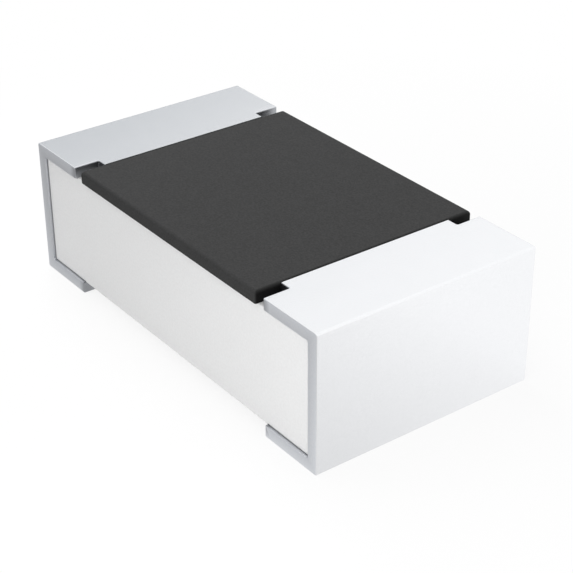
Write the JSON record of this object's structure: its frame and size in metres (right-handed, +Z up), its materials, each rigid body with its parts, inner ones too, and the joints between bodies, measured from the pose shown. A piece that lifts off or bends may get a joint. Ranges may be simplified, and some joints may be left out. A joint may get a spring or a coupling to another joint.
{
  "type": "smd chip resistor",
  "caption": "Rectangular thick-film chip resistor: white ceramic block with a black overcoat on top and matte tin terminations that wrap round each end.",
  "frame": {"origin": "middle of the ceramic block, which is the chip's middle to 0.001 mm; the board's pad surface is 0.246 mm below it", "axes": "+X along the chip from one termination to the other, +Y across it, +Z up through the overcoat"},
  "size_m": [0.0016, 0.0008, 0.0004],
  "materials": {
    "alumina": "matte",
    "resistive_film": "satin",
    "glass_coat": "gloss",
    "overcoat": "matte",
    "printed_silver": "matte",
    "dipped_silver": "matte",
    "nickel": "satin",
    "tin": "satin"
  },
  "bodies": {
    "root": {"ceramic_substrate": "alumina", "resistive_film": "resistive_film", "glass_coat": "glass_coat", "overcoat": "overcoat", "left_top_electrode": "printed_silver", "right_top_electrode": "printed_silver", "left_bottom_electrode": "printed_silver", "right_bottom_electrode": "printed_silver", "left_end_electrode": "dipped_silver", "right_end_electrode": "dipped_silver", "left_nickel_barrier": "nickel", "right_nickel_barrier": "nickel", "left_tin_plating": "tin", "right_tin_plating": "tin"}
  },
  "joints": []
}
